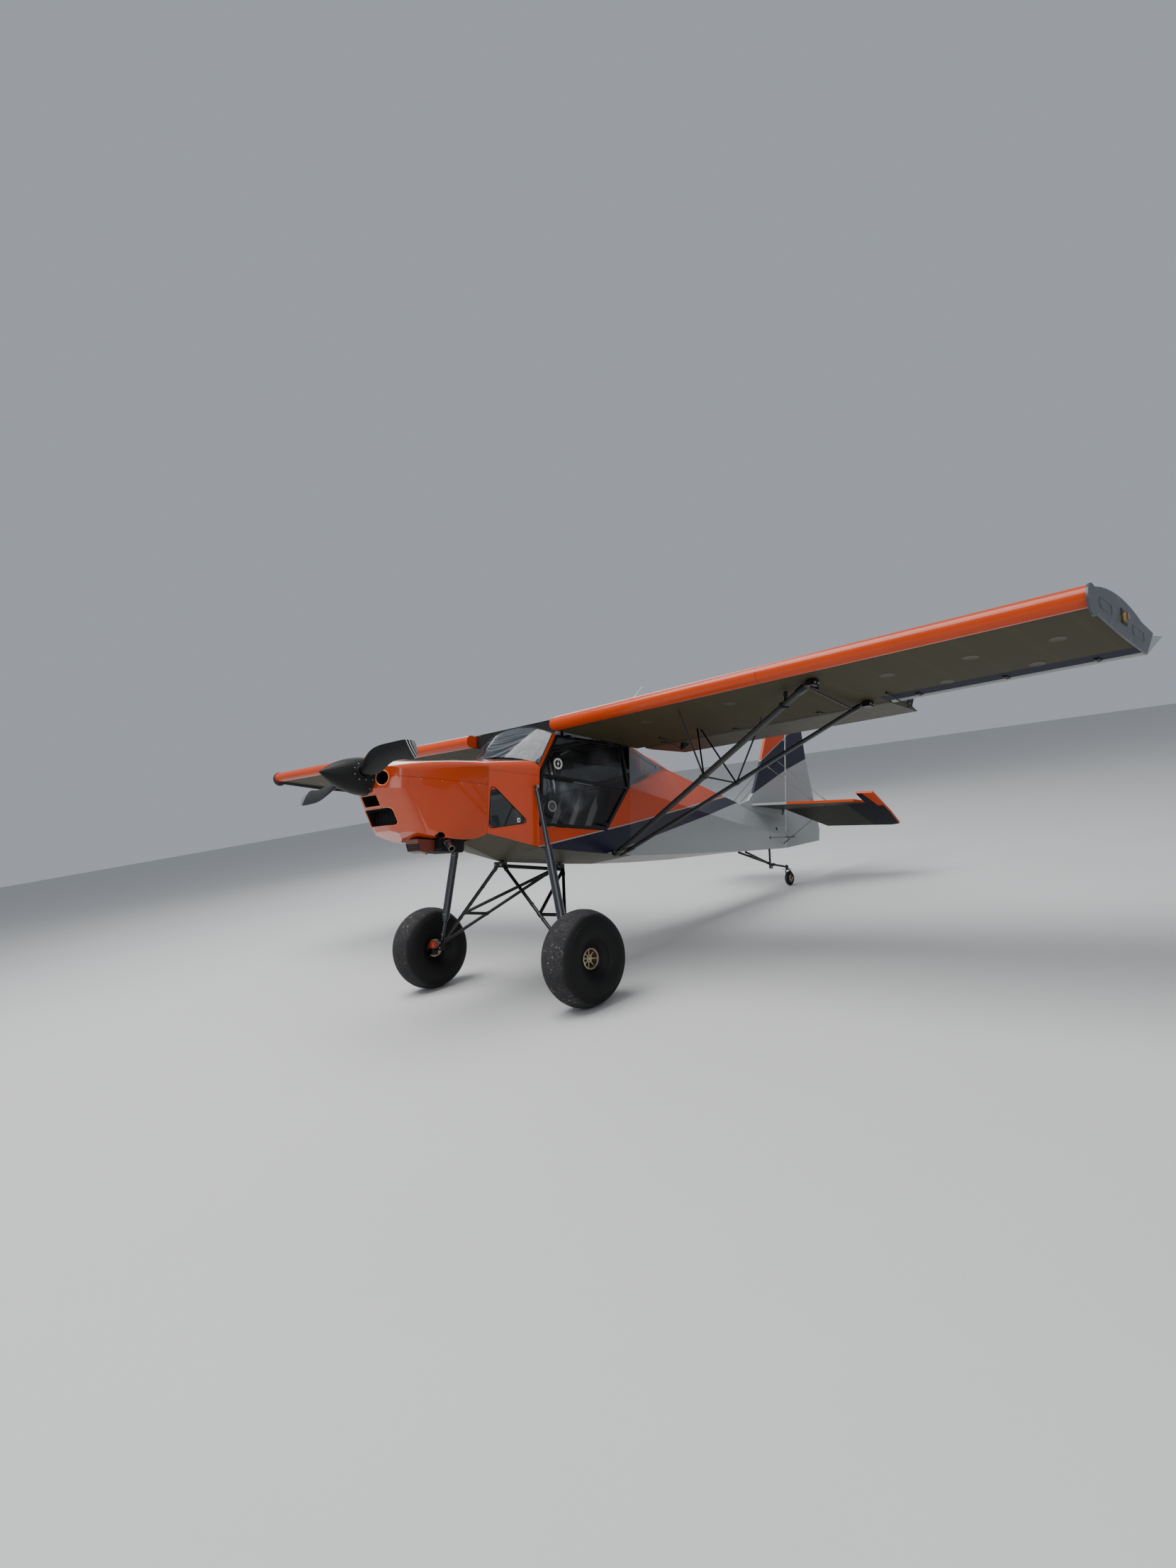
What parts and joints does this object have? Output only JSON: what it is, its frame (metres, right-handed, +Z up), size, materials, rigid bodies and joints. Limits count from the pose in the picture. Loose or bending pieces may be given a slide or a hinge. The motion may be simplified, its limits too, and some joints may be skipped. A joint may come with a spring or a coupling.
{
  "type": "microlight aircraft",
  "caption": "High-wing two-seat microlight aircraft on tall soft tyres and a tail wheel, with braced wings, hinged doors and moving control surfaces.",
  "frame": {"origin": "on the ground, under the middle of the aircraft's length and on its centre plane", "axes": "+X towards the nose along the ground, +Y to the left wing tip, +Z up; parked on its three wheels"},
  "size_m": [6.934, 9.576, 2.4124],
  "materials": {
    "orange_paint": "gloss",
    "wing_fabric": "satin",
    "dark_grey_paint": "satin",
    "light_grey_paint": "satin",
    "black_tube": "gloss",
    "clear_glass": "clear",
    "smoked_glass": "tinted",
    "engine_metal": "matte",
    "exhaust_black": "matte",
    "tyre_rubber": "matte",
    "rim_metal": "satin",
    "spinner_black": "satin",
    "blade_black": "gloss",
    "seat_fabric": "matte",
    "interior_grey": "matte",
    "bracing_steel": "satin"
  },
  "bodies": {
    "fuselage": {"cowl_upper": "orange_paint", "cowl_lower": "orange_paint", "engine": "engine_metal", "exhaust": "exhaust_black", "radiator": "orange_paint", "firewall": "engine_metal", "boot_cowl": "orange_paint", "foot_windows": "smoked_glass", "windshield": "clear_glass", "belly": "light_grey_paint", "side_panels": "orange_paint", "rear_cabin": "orange_paint", "rear_windows": "smoked_glass", "rear_fuselage": "orange_paint", "wing_left": "wing_fabric", "wing_right": "wing_fabric", "wing_tip_left": "dark_grey_paint", "wing_tip_right": "dark_grey_paint", "skylight": "smoked_glass", "roof_fairing": "orange_paint", "cabin_sides": "black_tube", "cabin_cross_tubes": "black_tube", "nose_braces": "black_tube", "door_hinges": "black_tube", "cabin_floor": "interior_grey", "seats": "seat_fabric", "instrument_panel": "interior_grey", "controls": "black_tube", "lift_struts": "black_tube", "jury_struts": "black_tube", "strut_fittings": "black_tube", "fin": "orange_paint", "stabiliser": "orange_paint", "tail_bracing": "bracing_steel", "gear_hinges": "black_tube", "gear_leg_left": "black_tube", "gear_leg_right": "black_tube", "shock_strut_left": "black_tube", "shock_strut_right": "black_tube", "tail_arm": "black_tube"},
    "propeller": {"spinner": "spinner_black", "propeller_blades": "blade_black"},
    "wheel_left": {"tyre_left": "tyre_rubber", "rim_left": "rim_metal"},
    "wheel_right": {"tyre_right": "tyre_rubber", "rim_right": "rim_metal"},
    "door_left": {"door_frame_left": "black_tube", "door_glass_left": "clear_glass"},
    "door_right": {"door_frame_right": "black_tube", "door_glass_right": "clear_glass"},
    "rudder": {"rudder": "orange_paint"},
    "elevator": {"elevator": "orange_paint"},
    "aileron_left": {"aileron_left": "light_grey_paint"},
    "aileron_right": {"aileron_right": "light_grey_paint"},
    "flap_left": {"flap_left": "light_grey_paint"},
    "flap_right": {"flap_right": "light_grey_paint"},
    "tail_fork": {"tail_fork": "black_tube"},
    "tail_wheel": {"tail_wheel": "tyre_rubber"}
  },
  "joints": [
    {"name": "propeller_spin", "type": "hinge", "parent": "fuselage", "child": "propeller", "pos_m": [3.17573, 0, 2.07985], "axis": [0.9761, 0, 0.2175], "continuous": true},
    {"name": "wheel_left_spin", "type": "hinge", "parent": "fuselage", "child": "wheel_left", "pos_m": [2.05242, 1.06, 0.385], "axis": [0, 1, 0], "continuous": true},
    {"name": "wheel_right_spin", "type": "hinge", "parent": "fuselage", "child": "wheel_right", "pos_m": [2.05242, -1.06, 0.385], "axis": [0, 1, 0], "continuous": true},
    {"name": "tail_steer", "type": "hinge", "parent": "fuselage", "child": "tail_fork", "pos_m": [-2.59697, 0, 0.23839], "axis": [0, 0, 1], "range_deg": [-30, 30]},
    {"name": "tail_wheel_spin", "type": "hinge", "parent": "tail_fork", "child": "tail_wheel", "pos_m": [-2.61923, 0, 0.09], "axis": [0, 1, 0], "continuous": true},
    {"name": "door_left_swing", "type": "hinge", "parent": "fuselage", "child": "door_left", "pos_m": [1.46247, 0.529, 2.1776], "axis": [0.98, -0.0134, 0.1984], "range_deg": [0, 68]},
    {"name": "door_right_swing", "type": "hinge", "parent": "fuselage", "child": "door_right", "pos_m": [1.46247, -0.529, 2.1776], "axis": [-0.98, -0.0134, -0.1984], "range_deg": [0, 68]},
    {"name": "rudder_turn", "type": "hinge", "parent": "fuselage", "child": "rudder", "pos_m": [-2.63387, 0, 0.47298], "axis": [-0.2462, 0, 0.9692], "range_deg": [-28, 28]},
    {"name": "elevator_turn", "type": "hinge", "parent": "fuselage", "child": "elevator", "pos_m": [-2.68143, 0, 0.96235], "axis": [0, 1, 0], "range_deg": [-1, 49]},
    {"name": "aileron_left_turn", "type": "hinge", "parent": "fuselage", "child": "aileron_left", "pos_m": [0.42625, 3.105, 2.05075], "axis": [-0.0038, 0.9999, 0.0169], "range_deg": [-50, 0]},
    {"name": "aileron_right_turn", "type": "hinge", "parent": "fuselage", "child": "aileron_right", "pos_m": [0.42625, -3.105, 2.05075], "axis": [0.0038, 0.9999, -0.0169], "range_deg": [0, 50]},
    {"name": "flap_left_turn", "type": "hinge", "parent": "fuselage", "child": "flap_left", "pos_m": [0.4355, 0.65, 2.00928], "axis": [-0.0038, 0.9999, 0.0169], "range_deg": [-40, 0]},
    {"name": "flap_right_turn", "type": "hinge", "parent": "fuselage", "child": "flap_right", "pos_m": [0.4355, -0.65, 2.00928], "axis": [0.0038, 0.9999, -0.0169], "range_deg": [-40, 0]}
  ],
  "couplings": [
    {"joint": "aileron_right_turn", "follows": "aileron_left_turn", "ratio": -1},
    {"joint": "flap_right_turn", "follows": "flap_left_turn", "ratio": 1}
  ]
}
